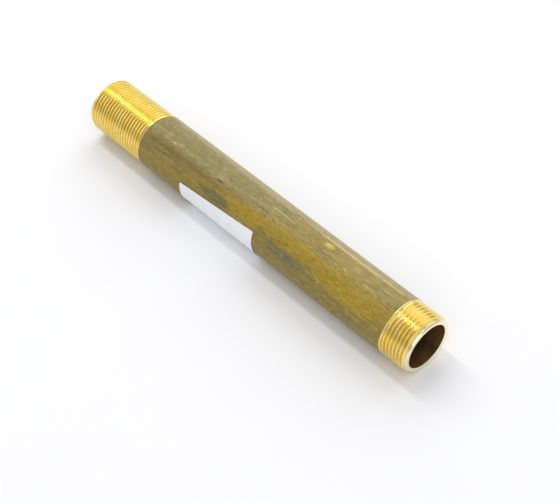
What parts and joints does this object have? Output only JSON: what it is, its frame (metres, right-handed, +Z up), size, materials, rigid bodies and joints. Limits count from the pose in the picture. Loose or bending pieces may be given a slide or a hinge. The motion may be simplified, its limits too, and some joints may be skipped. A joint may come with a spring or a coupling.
{
  "type": "threaded pipe nipple",
  "caption": "Straight brass pipe nipple with a short male pipe thread at one end, a long running thread at the other and a blank paper label.",
  "frame": {"origin": "on the pipe's axis, midway between its two end faces", "axes": "+X along the pipe's axis towards the short thread, -X towards the long thread, +Z up when the pipe lies on its side with the label on the -Y flank"},
  "size_m": [0.2032, 0.0271, 0.0266],
  "materials": {
    "brass": "olive tarnished barrel with fine axial scratches, bright freshly cut threads",
    "label_paper": "white semi-matt self-adhesive paper, blank"
  },
  "bodies": {
    "root": {"nipple": "brass", "size_label": "label_paper"}
  },
  "joints": []
}
